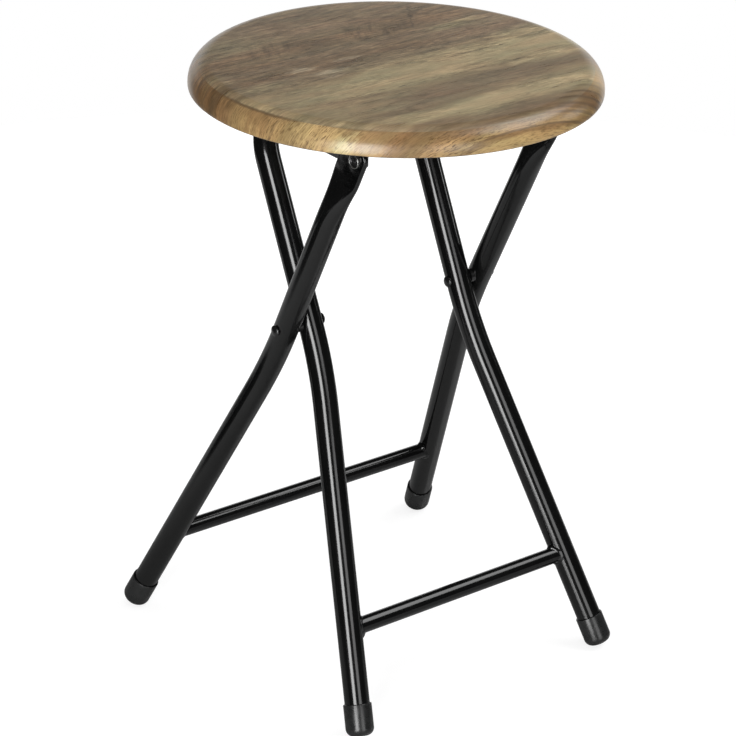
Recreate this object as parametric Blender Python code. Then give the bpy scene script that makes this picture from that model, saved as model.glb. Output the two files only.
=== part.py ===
# Round-seat folding stool: a wood board hinged on one tube frame and caught on a second, crossed one.
# Metres, +Z up, -Y is the front, X runs along the pivot. The stool is modelled open, as it stands in use.
import math

import bmesh
import bpy
from mathutils import Matrix, Vector

# Seat board
SEAT_DIAMETER = 0.3048
SEAT_THICKNESS = 0.019
SEAT_HEIGHT = 0.4723
SEAT_TOP_ROUND = 0.0165
SEAT_LOWER_ROUND = 0.0012

# Tube frames
TUBE_DIAMETER = 0.019
TUBE_WALL = 0.0012
STRETCHER_DIAMETER = 0.0127
STRETCHER_WALL = 0.001
LEAN = math.radians(26.02)
PIVOT_HEIGHT = 0.279
PIVOT_SETBACK = 0.0064
OUTER_HALF_WIDTH = 0.0923
OUTER_SPLAY = math.radians(10.77)
INNER_SPLAY = math.radians(9.89)
BEND_DROP = 0.0353
BEND_RADIUS = 0.36
TOP_BEND_RADIUS = 0.055
OUTER_STRETCHER_HEIGHT = 0.0744
INNER_STRETCHER_HEIGHT = 0.0732

# Flattened upper ends of the outer legs
FLAT_THICKNESS = 0.004
FLAT_INSET = 0.001
FLAT_BELOW_PIN = 0.017
FLAT_ABOVE_PIN = 0.009
FLAT_CORNER = 0.006
FLAT_TAPER = 0.043

# Rivets and washers
PIN_DROP = 0.016
PIN_FORWARD = 0.004
RIVET_DIAMETER = 0.006
RIVET_HEAD_DIAMETER = 0.0094
RIVET_HEAD_HEIGHT = 0.0026
PIVOT_WASHER_DIAMETER = 0.012
PIVOT_WASHER_THICKNESS = 0.002
HINGE_WASHER_DIAMETER = 0.013
HINGE_WASHER_THICKNESS = 0.0006

# Hinge rails under the seat
RAIL_GAUGE = 0.0015
RAIL_LENGTH = 0.11
RAIL_FLANGE = 0.02
RAIL_BEND = 0.003
EAR_DROP = 0.0083
EAR_FORWARD = 0.0065
EAR_FRONT_CHAMFER = 0.005
EAR_REAR_RISE = 0.016
EAR_REAR_RUN = 0.04

# Crossbar catch under the seat
CATCH_WIDTH = 0.028
CATCH_ROOF = 0.003
CATCH_WALL = 0.005
CATCH_TAB = 0.012
CATCH_BACK_ANGLE = math.radians(-20)
CATCH_FRONT_ANGLE = math.radians(130)

# Screws
SCREW_DIAMETER = 0.0035
SCREW_LENGTH = 0.0135
SCREW_TIP = 0.003
SCREW_HEAD_DIAMETER = 0.0075
SCREW_HEAD_HEIGHT = 0.0021
RAIL_SCREW_MARGIN = 0.016
RAIL_SCREWS = 3

# Foot caps
CAP_LENGTH = 0.024
CAP_WALL = 0.0009
CAP_FLOOR = 0.004
CAP_ROUND = 0.0045
CAP_LIP = 0.0004
CAP_FLAT = 0.0004

# Clearance between neighbours, and mesh fineness
GAP = 0.0003
TUBE_SIDES = 20
SMALL_SIDES = 16
SEAT_SIDES = 64
ARC_STEPS = 4

# Sizes that follow
tube_radius = TUBE_DIAMETER / 2
flat_half = FLAT_THICKNESS / 2
pivot_gap = PIVOT_WASHER_THICKNESS + 2 * GAP
inner_half_width = OUTER_HALF_WIDTH - TUBE_DIAMETER - pivot_gap
seat_under = SEAT_HEIGHT - SEAT_THICKNESS
pin_height = seat_under - PIN_DROP
pin_reach = (pin_height - PIVOT_HEIGHT + PIN_FORWARD * math.sin(LEAN)) / math.cos(LEAN)
pin_y = PIVOT_SETBACK - pin_reach * math.sin(LEAN) - PIN_FORWARD * math.cos(LEAN)
bar_height = seat_under - GAP - CATCH_ROOF - GAP - tube_radius
bar_reach = (bar_height - PIVOT_HEIGHT) / math.cos(LEAN)
bar_y = PIVOT_SETBACK + bar_reach * math.sin(LEAN)
flat_inner_x = OUTER_HALF_WIDTH - FLAT_INSET - flat_half
flat_outer_x = OUTER_HALF_WIDTH - FLAT_INSET + flat_half
ear_outer_x = flat_inner_x - HINGE_WASHER_THICKNESS - 2 * GAP
ear_inner_x = ear_outer_x - RAIL_GAUGE
rail_top = PIN_DROP - GAP
cap_radius = tube_radius + GAP + CAP_WALL
sides = {"left": -1, "right": 1}


def clear_scene():
    for old in list(bpy.data.objects):
        bpy.data.objects.remove(old)


def make_material(name, colour, roughness, metallic):
    mat = bpy.data.materials.new(name)
    mat.use_nodes = True
    shader = mat.node_tree.nodes["Principled BSDF"]
    shader.inputs["Base Color"].default_value = (*colour, 1.0)
    shader.inputs["Roughness"].default_value = roughness
    shader.inputs["Metallic"].default_value = metallic
    return mat


def add_empty(name, location, turn_x=0.0):
    empty = bpy.data.objects.new(name, None)
    empty.location = location
    empty.rotation_euler.x = turn_x
    bpy.context.collection.objects.link(empty)
    return empty


def add_object(name, bm, mat, parent, location=(0, 0, 0), turn_y=0.0):
    bmesh.ops.recalc_face_normals(bm, faces=bm.faces[:])
    mesh = bpy.data.meshes.new(name)
    bm.to_mesh(mesh)
    bm.free()
    if mat:
        mesh.materials.append(mat)
    mesh.shade_smooth()
    mesh.set_sharp_from_angle(angle=math.radians(35))
    obj = bpy.data.objects.new(name, mesh)
    obj.parent = parent
    obj.location = location
    obj.rotation_euler.y = turn_y
    bpy.context.collection.objects.link(obj)
    return obj


def cut_away(target, bm):
    cutter = add_object(target.name + "_cutter", bm, None, target.parent)
    cutter.hide_render = True
    cutter.display_type = "WIRE"
    boolean = target.modifiers.new("cuts", "BOOLEAN")
    boolean.operation = "DIFFERENCE"
    boolean.solver = "EXACT"
    boolean.object = cutter


def add_cylinder(bm, start, end, radius, count=SMALL_SIDES):
    way = Vector(end) - Vector(start)
    middle = (Vector(end) + Vector(start)) / 2
    place = Matrix.Translation(middle) @ way.to_track_quat("Z", "Y").to_matrix().to_4x4()
    bmesh.ops.create_cone(
        bm, cap_ends=True, segments=count, radius1=radius, radius2=radius, depth=way.length, matrix=place
    )


def arc(centre, radius, start, end, steps=ARC_STEPS):
    angles = [start + (end - start) * i / steps for i in range(steps + 1)]
    return [(centre[0] + radius * math.cos(a), centre[1] + radius * math.sin(a)) for a in angles]


def lathe(profile, count=SMALL_SIDES, ring=False):
    bm = bmesh.new()
    verts = [bm.verts.new((r, 0, z)) for r, z in profile]
    edges = [bm.edges.new(pair) for pair in zip(verts, verts[1:])]
    if ring:
        edges.append(bm.edges.new((verts[-1], verts[0])))
    bmesh.ops.spin(
        bm, geom=verts + edges, cent=(0, 0, 0), axis=(0, 0, 1), angle=2 * math.pi, steps=count, use_merge=True
    )
    bmesh.ops.remove_doubles(bm, verts=bm.verts[:], dist=1e-6)
    return bm


def extrude_outline(points, way):
    bm = bmesh.new()
    face = bm.faces.new([bm.verts.new(p) for p in points])
    moved = bmesh.ops.extrude_face_region(bm, geom=[face], use_keep_orig=True)
    bmesh.ops.translate(bm, vec=way, verts=[v for v in moved["geom"] if isinstance(v, bmesh.types.BMVert)])
    return bm


def slice_off(bm, point, normal):
    whole = bm.verts[:] + bm.edges[:] + bm.faces[:]
    cut = bmesh.ops.bisect_plane(bm, geom=whole, plane_co=point, plane_no=normal, clear_outer=True)
    rim = [e for e in cut["geom_cut"] if isinstance(e, bmesh.types.BMEdge)]
    bmesh.ops.edgeloop_fill(bm, edges=rim)


# A tube section in the frame's own plane: thin along the frame's width, wide along its normal
def add_section(bm, centre, tilt, half_thin, half_wide, side=1):
    straight = half_wide - half_thin
    loop = []
    for i in range(TUBE_SIDES):
        angle = 2 * math.pi * (i + 0.5) / TUBE_SIDES
        thin = half_thin * math.cos(angle)
        wide = half_thin * math.sin(angle) + math.copysign(straight, math.sin(angle))
        x = centre[0] + thin * math.cos(tilt)
        z = centre[1] + thin * math.sin(tilt)
        loop.append(bm.verts.new((side * x, wide, z)))
    return loop


# A hollow tube through its rings, each a centre, a tilt and two half sizes
def hollow_tube(rings, wall, side=1):
    bm = bmesh.new()
    outer = [add_section(bm, c, t, thin, wide, side) for c, t, thin, wide in rings]
    inner = [add_section(bm, c, t, thin - wall, wide - wall, side) for c, t, thin, wide in rings]
    loops = outer + inner[::-1] + outer[:1]
    for a, b in zip(loops, loops[1:]):
        for i in range(TUBE_SIDES):
            j = (i + 1) % TUBE_SIDES
            bm.faces.new((a[i], a[j], b[j], b[i]))
    return bm


# Places on a leg, in its frame's plane: x across, z along the frame from the pivot
def leg_x(half_width, splay, z):
    return half_width + max(0, -BEND_DROP - z) * math.tan(splay)


def cap_bottom(half_width, splay):
    tilt = math.acos(math.cos(LEAN) * math.cos(splay))
    rim_drop = (cap_radius - CAP_ROUND) * math.sin(tilt) + CAP_ROUND * (1 - math.cos(tilt))
    z = (rim_drop - CAP_FLAT - PIVOT_HEIGHT) / math.cos(LEAN)
    return leg_x(half_width, splay, z), z


def lower_rings(half_width, splay):
    x, z = cap_bottom(half_width, splay)
    lift = CAP_FLOOR + GAP
    rings = [((x - lift * math.sin(splay), z + lift * math.cos(splay)), splay)]
    bend_top = -BEND_DROP + BEND_RADIUS * math.tan(splay / 2)
    for i in range(ARC_STEPS, -1, -1):
        t = splay * i / ARC_STEPS
        centre = (half_width + BEND_RADIUS * (1 - math.cos(t)), bend_top - BEND_RADIUS * math.sin(t))
        rings.append((centre, t))
    return [(centre, t, tube_radius, tube_radius) for centre, t in rings]


# A squeezed tube keeps its girth, so it widens as it thins
def squeezed_half_width(half_thin):
    return half_thin + (tube_radius - half_thin) * math.pi / 2


def flattened_rings():
    rings = []
    taper_start = pin_reach - FLAT_BELOW_PIN - FLAT_TAPER
    for i in range(ARC_STEPS + 2):
        share = i / (ARC_STEPS + 1)
        thin = tube_radius + (flat_half - tube_radius) * share
        centre = (OUTER_HALF_WIDTH - FLAT_INSET * share, taper_start + FLAT_TAPER * share)
        rings.append((centre, 0, thin, squeezed_half_width(thin)))
    flat_wide = squeezed_half_width(flat_half)
    corner_start = pin_reach + FLAT_ABOVE_PIN - FLAT_CORNER
    for r, z in arc((flat_wide - FLAT_CORNER, corner_start), FLAT_CORNER, 0, math.radians(65), 3):
        rings.append(((OUTER_HALF_WIDTH - FLAT_INSET, z), 0, flat_half, r))
    return rings


def make_outer_leg(name, side, mat, frame):
    rings = lower_rings(OUTER_HALF_WIDTH, OUTER_SPLAY) + flattened_rings()
    leg = add_object(name, hollow_tube(rings, TUBE_WALL, side), mat, frame)
    holes = bmesh.new()
    hole_radius = RIVET_DIAMETER / 2 + GAP
    near = side * (OUTER_HALF_WIDTH - TUBE_DIAMETER)
    far = side * (OUTER_HALF_WIDTH + TUBE_DIAMETER)
    add_cylinder(holes, (near, 0, 0), (far, 0, 0), hole_radius)
    add_cylinder(holes, (near, -PIN_FORWARD, pin_reach), (far, -PIN_FORWARD, pin_reach), hole_radius)
    cut_away(leg, holes)


# One tube bent into an upside-down U, with the seat resting on its crossbar
def make_inner_tube(name, mat, frame):
    half = lower_rings(inner_half_width, INNER_SPLAY)
    bend_centre = (inner_half_width - TOP_BEND_RADIUS, bar_reach - TOP_BEND_RADIUS)
    steps = 2 * ARC_STEPS
    for i in range(steps + 1):
        t = math.pi / 2 * i / steps
        x = bend_centre[0] + TOP_BEND_RADIUS * math.cos(t)
        z = bend_centre[1] + TOP_BEND_RADIUS * math.sin(t)
        half.append(((x, z), t, tube_radius, tube_radius))
    other = [((-c[0], c[1]), math.pi - t, thin, wide) for c, t, thin, wide in reversed(half)]
    tube = add_object(name, hollow_tube(half + other, TUBE_WALL), mat, frame)
    holes = bmesh.new()
    for side in sides.values():
        near = side * (inner_half_width - TUBE_DIAMETER)
        far = side * (inner_half_width + TUBE_DIAMETER)
        add_cylinder(holes, (near, 0, 0), (far, 0, 0), RIVET_DIAMETER / 2 + GAP)
    cut_away(tube, holes)


# A lower cross tube, its ends hollowed to sit against the two legs
def make_stretcher(name, half_width, splay, height, mat, frame):
    z = (height - PIVOT_HEIGHT) / math.cos(LEAN)
    x = leg_x(half_width, splay, z)
    radius = STRETCHER_DIAMETER / 2
    bore = radius - STRETCHER_WALL
    bm = lathe([(radius, -x), (radius, x), (bore, x), (bore, -x)], SMALL_SIDES, ring=True)
    bmesh.ops.rotate(bm, cent=(0, 0, 0), matrix=Matrix.Rotation(math.pi / 2, 3, "Y"), verts=bm.verts[:])
    bmesh.ops.translate(bm, vec=(0, 0, z), verts=bm.verts[:])
    stretcher = add_object(name, bm, mat, frame)
    ends = bmesh.new()
    run = 2 * STRETCHER_DIAMETER
    for side in sides.values():
        low = (side * (x + run * math.tan(splay)), 0, z - run)
        high = (side * (x - run * math.tan(splay)), 0, z + run)
        add_cylinder(ends, low, high, tube_radius + GAP, TUBE_SIDES)
    cut_away(stretcher, ends)


# A foot sleeve square to its leg, with a small flat worn level where it meets the floor
def make_cap(name, side, half_width, splay, mat, frame):
    bore = cap_radius - CAP_WALL
    rounded = arc((cap_radius - CAP_ROUND, CAP_ROUND), CAP_ROUND, -math.pi / 2, 0)
    rim = [(cap_radius, CAP_LENGTH - CAP_LIP), (cap_radius - CAP_LIP, CAP_LENGTH), (bore, CAP_LENGTH)]
    bm = lathe([(0, 0)] + rounded + rim + [(bore, CAP_FLOOR), (0, CAP_FLOOR)], TUBE_SIDES)
    x, z = cap_bottom(half_width, splay)
    tilt = -side * splay
    place = Matrix.Translation((side * x, 0, z)) @ Matrix.Rotation(tilt, 4, "Y")
    to_world = Matrix.Translation(frame.location) @ Matrix.Rotation(frame.rotation_euler.x, 4, "X") @ place
    down = to_world.to_3x3().inverted() @ Vector((0, 0, -1))
    floor_point = to_world.inverted() @ Vector((to_world.translation.x, to_world.translation.y, 0))
    slice_off(bm, floor_point, down)
    add_object(name, bm, mat, frame, (side * x, 0, z), tilt)


# A pin with a domed head at each end, along its own Z from the inner head to the outer one
def rivet_profile(low, high):
    head = RIVET_HEAD_DIAMETER / 2
    shank = RIVET_DIAMETER / 2
    dome = [(head * math.cos(a), RIVET_HEAD_HEIGHT * math.sin(a)) for a in
            [math.pi / 2 * i / ARC_STEPS for i in range(ARC_STEPS + 1)]]
    bottom = [(r, low - h) for r, h in reversed(dome)]
    top = [(r, high + h) for r, h in dome]
    return bottom + [(shank, low), (shank, high)] + top


def ring_profile(bore_diameter, diameter, thickness):
    bore = bore_diameter / 2 + GAP
    low, high = -thickness / 2, thickness / 2
    return [(bore, low), (diameter / 2, low), (diameter / 2, high), (bore, high)]


def make_pivot_set(label, side, metal, nylon, frame):
    outward = side * math.pi / 2
    low = inner_half_width - tube_radius - GAP
    high = OUTER_HALF_WIDTH + tube_radius + GAP
    rivet = lathe(rivet_profile(low, high))
    add_object("pivot_rivet_" + label, rivet, metal, frame, (0, 0, 0), outward)
    washer = lathe(ring_profile(RIVET_DIAMETER, PIVOT_WASHER_DIAMETER, PIVOT_WASHER_THICKNESS), ring=True)
    middle = inner_half_width + tube_radius + pivot_gap / 2
    add_object("pivot_washer_" + label, washer, nylon, frame, (side * middle, 0, 0), outward)


def make_hinge_set(label, side, metal, nylon, frame):
    outward = side * math.pi / 2
    pin = lathe(rivet_profile(ear_inner_x - GAP, flat_outer_x + GAP))
    add_object("hinge_rivet_" + label, pin, metal, frame, (0, -PIN_FORWARD, pin_reach), outward)
    washer = lathe(ring_profile(RIVET_DIAMETER, HINGE_WASHER_DIAMETER, HINGE_WASHER_THICKNESS), ring=True)
    middle = side * (ear_outer_x + GAP + HINGE_WASHER_THICKNESS / 2)
    add_object("hinge_washer_" + label, washer, nylon, frame, (middle, -PIN_FORWARD, pin_reach), outward)


# Pieces on the seat are placed from the hinge pin: y back, z up
def rail_screw_places(side):
    x = side * (ear_outer_x - RAIL_BEND / 2 - RAIL_FLANGE / 2)
    first = -EAR_FORWARD + RAIL_SCREW_MARGIN
    last = -EAR_FORWARD + RAIL_LENGTH - RAIL_SCREW_MARGIN
    step = (last - first) / (RAIL_SCREWS - 1)
    return [(x, first + step * i, rail_top - RAIL_GAUGE - GAP) for i in range(RAIL_SCREWS)]


def catch_screw_places():
    groove = tube_radius + GAP
    z = rail_top - CATCH_ROOF - GAP
    reach = groove + CATCH_WALL + CATCH_TAB / 2
    return [(0, bar_y - pin_y + way * reach, z) for way in (-1, 1)]


def make_board(name, screw_places, mat, hinge):
    radius = SEAT_DIAMETER / 2
    lower = arc((radius - SEAT_LOWER_ROUND, SEAT_LOWER_ROUND), SEAT_LOWER_ROUND, -math.pi / 2, 0, 2)
    upper_centre = (radius - SEAT_TOP_ROUND, SEAT_THICKNESS - SEAT_TOP_ROUND)
    upper = arc(upper_centre, SEAT_TOP_ROUND, 0, math.pi / 2, 2 * ARC_STEPS)
    bm = lathe([(0, 0)] + lower + upper + [(0, SEAT_THICKNESS)], SEAT_SIDES)
    board = add_object(name, bm, mat, hinge, (0, -pin_y, PIN_DROP))
    pilots = bmesh.new()
    for x, y, z in screw_places:
        top = (x, y, z + SCREW_LENGTH + GAP)
        add_cylinder(pilots, (x, y, z), top, SCREW_DIAMETER / 2 + GAP, SMALL_SIDES // 2)
    cut_away(board, pilots)


# An angle of folded sheet: a hanging ear with the pin hole and a flange screwed to the board
def make_rail(name, side, mat, hinge):
    bend_centre = (ear_outer_x - RAIL_BEND, rail_top - RAIL_BEND)
    flange_edge = ear_outer_x - RAIL_FLANGE
    outline = [(ear_inner_x, -EAR_DROP), (ear_outer_x, -EAR_DROP)]
    outline += arc(bend_centre, RAIL_BEND, 0, math.pi / 2)
    outline += [(flange_edge, rail_top), (flange_edge, rail_top - RAIL_GAUGE)]
    outline += arc(bend_centre, RAIL_BEND - RAIL_GAUGE, math.pi / 2, 0)
    bm = extrude_outline([(side * x, -EAR_FORWARD, z) for x, z in outline], (0, RAIL_LENGTH, 0))
    slice_off(bm, (0, -EAR_FORWARD + EAR_FRONT_CHAMFER, -EAR_DROP), (0, -1, -1))
    slice_off(bm, (0, RAIL_LENGTH - EAR_FORWARD - EAR_REAR_RUN, -EAR_DROP), (0, EAR_REAR_RISE, -EAR_REAR_RUN))
    rail = add_object(name, bm, mat, hinge)
    holes = bmesh.new()
    add_cylinder(holes, (side * (ear_inner_x - RAIL_GAUGE), 0, 0), (side * (ear_outer_x + RAIL_GAUGE), 0, 0),
                 RIVET_DIAMETER / 2 + GAP)
    for x, y, z in rail_screw_places(side):
        add_cylinder(holes, (x, y, z), (x, y, z + 2 * RAIL_GAUGE), SCREW_DIAMETER / 2 + GAP)
    cut_away(rail, holes)


# A moulded saddle over the crossbar: a deep stop behind it and a short lip in front
def make_catch(name, mat, hinge):
    y, z = bar_y - pin_y, bar_height - pin_height
    groove = tube_radius + GAP
    top, under = rail_top, rail_top - CATCH_ROOF
    wall = groove + CATCH_WALL
    end = wall + CATCH_TAB
    back_low = z + groove * math.sin(CATCH_BACK_ANGLE)
    front_low = z + groove * math.sin(CATCH_FRONT_ANGLE)
    outline = [(y + end, top), (y - end, top), (y - end, under), (y - wall, under), (y - wall, front_low)]
    outline += arc((y, z), groove, CATCH_FRONT_ANGLE, CATCH_BACK_ANGLE, 2 * ARC_STEPS)
    outline += [(y + wall, back_low), (y + wall, under), (y + end, under)]
    bm = extrude_outline([(-CATCH_WIDTH / 2, a, b) for a, b in outline], (CATCH_WIDTH, 0, 0))
    catch = add_object(name, bm, mat, hinge)
    holes = bmesh.new()
    for sx, sy, sz in catch_screw_places():
        add_cylinder(holes, (sx, sy, sz), (sx, sy, sz + 2 * CATCH_ROOF), SCREW_DIAMETER / 2 + GAP)
    cut_away(catch, holes)


def make_screw(name, place, mat, hinge):
    head, shank = SCREW_HEAD_DIAMETER / 2, SCREW_DIAMETER / 2
    dome = [(head * math.sin(a), -SCREW_HEAD_HEIGHT * math.cos(a)) for a in
            [math.pi / 2 * i / 3 for i in range(4)]]
    point = [(shank, 0), (shank, SCREW_LENGTH - SCREW_TIP), (0, SCREW_LENGTH)]
    add_object(name, lathe(dome + point, SMALL_SIDES // 2), mat, hinge, place)


def build():
    clear_scene()
    wood = make_material("seat_wood", (0.30, 0.17, 0.07), 0.35, 0.0)
    paint = make_material("frame_paint", (0.012, 0.012, 0.013), 0.2, 0.0)
    rail_paint = make_material("rail_paint", (0.015, 0.015, 0.016), 0.4, 0.0)
    rivet_steel = make_material("rivet_steel", (0.06, 0.06, 0.065), 0.3, 0.9)
    screw_steel = make_material("screw_steel", (0.45, 0.45, 0.46), 0.35, 1.0)
    nylon = make_material("washer_nylon", (0.02, 0.02, 0.02), 0.5, 0.0)
    catch_plastic = make_material("catch_plastic", (0.02, 0.02, 0.021), 0.5, 0.0)
    cap_rubber = make_material("cap_rubber", (0.02, 0.02, 0.02), 0.6, 0.0)

    pivot = (0, PIVOT_SETBACK, PIVOT_HEIGHT)
    outer_frame = add_empty("outer_frame_pivot", pivot, LEAN)
    inner_frame = add_empty("inner_frame_pivot", pivot, -LEAN)
    seat_hinge = add_empty("seat_hinge", (0, pin_y, pin_height))

    make_stretcher("outer_stretcher", OUTER_HALF_WIDTH, OUTER_SPLAY, OUTER_STRETCHER_HEIGHT, paint, outer_frame)
    make_inner_tube("inner_tube", paint, inner_frame)
    make_stretcher("inner_stretcher", inner_half_width, INNER_SPLAY, INNER_STRETCHER_HEIGHT, paint, inner_frame)
    screw_places = {}
    for label, side in sides.items():
        make_outer_leg("outer_leg_" + label, side, paint, outer_frame)
        make_cap("outer_foot_" + label, side, OUTER_HALF_WIDTH, OUTER_SPLAY, cap_rubber, outer_frame)
        make_cap("inner_foot_" + label, side, inner_half_width, INNER_SPLAY, cap_rubber, inner_frame)
        make_pivot_set(label, side, rivet_steel, nylon, outer_frame)
        make_hinge_set(label, side, rivet_steel, nylon, outer_frame)
        make_rail("hinge_rail_" + label, side, rail_paint, seat_hinge)
        for number, place in enumerate(rail_screw_places(side), 1):
            screw_places["rail_screw_%s_%d" % (label, number)] = place
    make_catch("crossbar_catch", catch_plastic, seat_hinge)
    for label, place in zip(("front", "back"), catch_screw_places()):
        screw_places["catch_screw_" + label] = place
    make_board("seat_board", screw_places.values(), wood, seat_hinge)
    for name, place in screw_places.items():
        make_screw(name, place, screw_steel, seat_hinge)


build()
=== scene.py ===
from math import atan2, copysign, cos, hypot, pi, radians, sin, sqrt, tan

import bmesh
import bpy
from mathutils import Matrix, Vector


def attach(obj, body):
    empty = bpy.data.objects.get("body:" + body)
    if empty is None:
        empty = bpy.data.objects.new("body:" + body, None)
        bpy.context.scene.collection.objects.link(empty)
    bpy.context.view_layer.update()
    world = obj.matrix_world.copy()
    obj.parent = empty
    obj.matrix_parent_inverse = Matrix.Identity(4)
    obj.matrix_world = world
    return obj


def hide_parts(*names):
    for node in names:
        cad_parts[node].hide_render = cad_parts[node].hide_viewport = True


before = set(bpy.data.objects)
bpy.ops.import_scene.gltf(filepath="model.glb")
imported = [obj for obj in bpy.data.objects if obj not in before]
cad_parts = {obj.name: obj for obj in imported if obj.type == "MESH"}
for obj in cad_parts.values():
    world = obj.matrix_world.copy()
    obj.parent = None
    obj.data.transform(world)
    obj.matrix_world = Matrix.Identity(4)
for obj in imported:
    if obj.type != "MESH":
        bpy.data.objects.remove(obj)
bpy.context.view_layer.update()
scene = bpy.context.scene
print("frame loaded,", len(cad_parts), "nodes")

mm = 0.001
mergeGap = 1e-6  # points closer than this are one
nearBy = 1e-5  # close enough to pick a part by its place
sides = (("Left", -1), ("Right", 1))
mesh = bpy.ops.mesh
ops = bpy.ops.object


# Small helpers for modelling
def pick(look, keys):  # several values of a dictionary at once
    return [look[key] for key in keys.split()]


def at(x, y, z):
    return Matrix.Translation((x, y, z))


def spun(angle, axis):
    return Matrix.Rotation(angle, 4, axis)


def freshStart():  # an operator then acts on the new piece alone
    if bpy.context.mode != "OBJECT":
        ops.mode_set(mode="OBJECT")
    ops.select_all(action="DESELECT")


def named(name):
    piece = bpy.context.object
    piece.name = name
    piece.data.name = name
    return piece


def newPiece(name, add, **settings):
    freshStart()
    add(**settings)
    return named(name)


def selectAll():
    mesh.select_all(action="SELECT")


def editMode(on=True):  # it starts on points, all of them selected
    ops.mode_set(mode="EDIT" if on else "OBJECT")
    if on:
        mesh.select_mode(type="VERT")
        selectAll()


def pickOnly(piece):
    freshStart()
    piece.select_set(True)
    bpy.context.view_layer.objects.active = piece


def pickParts(kind, test):  # selects faces or edges by their place
    mesh.select_mode(type=kind)
    mesh.select_all(action="DESELECT")
    bm = bmesh.from_edit_mesh(bpy.context.object.data)
    for part in bm.edges if kind == "EDGE" else bm.faces:
        if test(part):
            part.select_set(True)
    bm.select_flush_mode()
    bmesh.update_edit_mesh(bpy.context.object.data)


def middle(edge):
    return (edge.verts[0].co + edge.verts[1].co) / 2


def extrude(way):
    mesh.extrude_region_move(TRANSFORM_OT_translate={"value": way})


def cleanSkin():  # merged doubles first, then faces turned outwards
    selectAll()
    mesh.remove_doubles(threshold=mergeGap)
    mesh.normals_make_consistent(inside=False)


def reskin(piece):
    pickOnly(piece)
    editMode()
    cleanSkin()
    editMode(False)


def putAt(piece, matrix):  # the place goes into the mesh
    pickOnly(piece)
    piece.matrix_world = matrix
    ops.transform_apply(location=True, rotation=True, scale=True)


def copyOf(piece, name):
    pickOnly(piece)
    ops.duplicate(linked=False)
    return named(name)


def mirrored(piece, name):  # the other side's copy, right side out again
    twin = copyOf(piece, name)
    putAt(twin, Matrix.Scale(-1, 4, (1, 0, 0)))
    reskin(twin)
    return twin


def modify(piece, kind, **settings):  # one modifier, applied at once
    modifier = piece.modifiers.new(kind.lower(), kind)
    for key, value in settings.items():
        setattr(modifier, key, value)
    pickOnly(piece)
    ops.modifier_apply(modifier=modifier.name)


def softEdges(piece, width, steps):
    modify(piece, "BEVEL", width=width, segments=steps, limit_method="ANGLE", angle_limit=radians(30))


def thicken(piece, wall):
    modify(piece, "SOLIDIFY", thickness=wall, offset=-1, use_even_offset=True)


def cutWith(piece, cutter):
    modify(piece, "BOOLEAN", operation="DIFFERENCE", solver="EXACT", object=cutter)
    bpy.data.objects.remove(cutter)


def rod(centre, way, r, steps=24):  # a round cutter, both ways from its centre
    way = Vector(way)
    tool = newPiece("cutter", mesh.primitive_cylinder_add, vertices=steps, radius=r, depth=2 * way.length)
    putAt(tool, at(*centre) @ way.to_track_quat("Z", "Y").to_matrix().to_4x4())
    return tool


def joined(pieces):
    pickOnly(pieces[0])
    for piece in pieces:
        piece.select_set(True)
    ops.join()
    return pieces[0]


def turned(name, profile, steps):  # a chain of corners, radius and height, spun round Z
    piece = newPiece(name, mesh.primitive_plane_add, size=mm)
    editMode()
    mesh.merge(type="CENTER")
    bpy.ops.transform.translate(value=(profile[0][0], 0, profile[0][1]))
    for (r0, z0), (r1, z1) in zip(profile, profile[1:]):
        mesh.extrude_vertices_move(TRANSFORM_OT_translate={"value": (r1 - r0, 0, z1 - z0)})
    selectAll()
    mesh.spin(steps=steps, angle=2 * pi, center=(0, 0, 0), axis=(0, 0, 1))
    cleanSkin()
    editMode(False)
    return piece


def evenly(steps):  # shares from nought to one
    return [i / steps for i in range(steps + 1)]


def arc(centre, radius, start, end, steps):  # corners along an arc, angles in degrees
    angles = [radians(start + (end - start) * t) for t in evenly(steps)]
    return [(centre[0] + radius * cos(a), centre[1] + radius * sin(a)) for a in angles]


def finishPiece(piece, body, finish, angle=35):  # a piece stands for the node of the same name
    piece.data.materials.clear()
    piece.data.materials.append(finishes[finish])
    pickOnly(piece)
    ops.shade_smooth_by_angle(angle=radians(angle))
    node = "".join("_" + c.lower() if c.isupper() or c.isdigit() else c for c in piece.name)
    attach(piece, body)
    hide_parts(node)


# Camera at the photograph's angle
photoView = {
    "place": (-1.20696, -1.54086, 1.14094), "right": (0.7978211, -0.6025532, 0.0202756),
    "up": (0.2411548, 0.3497671, 0.9052665), "lens": 138.0229, "sensor": 36, "farthest": 60,
}


def setCamera():
    camera = newPiece("photoCamera", ops.camera_add)
    right, up = Vector(photoView["right"]), Vector(photoView["up"])
    turn = Matrix((right, up, right.cross(up))).transposed()
    camera.matrix_world = at(*photoView["place"]) @ turn.to_4x4()
    camera.data.lens, camera.data.sensor_width, camera.data.clip_end = pick(photoView, "lens sensor farthest")
    scene.camera = camera


setCamera()
print("camera set")


# Small helpers for materials, which wire up the node tree at hand
tree = None
finishes = {}


def wireUp(owner):
    global tree
    owner.use_nodes = True
    tree = owner.node_tree


def newFinish(name):  # its shader, and the place on the piece
    finishes[name] = bpy.data.materials.new(name)
    wireUp(finishes[name])
    return tree.nodes["Principled BSDF"], addNode("TexCoord").outputs["Object"]


def three(value):  # one number stands for all three
    return value if isinstance(value, tuple) else (value,) * 3


def link(value, socket):  # a wire, a number, a vector or a colour
    if isinstance(value, bpy.types.NodeSocket):
        tree.links.new(value, socket)
    elif socket.type == "RGBA":
        socket.default_value = (*three(value), 1)
    else:
        socket.default_value = value


def addNode(kind, inputs=None, **settings):
    node = tree.nodes.new("ShaderNode" + kind)
    for key, value in settings.items():
        setattr(node, key, value)
    for key, value in (inputs or {}).items():
        link(value, node.inputs[key])
    return node


def calc(operation, a, b=0):
    return addNode("Math", {0: a, 1: b}, operation=operation).outputs[0]


def plus(a, b):
    return calc("ADD", a, b)


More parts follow.
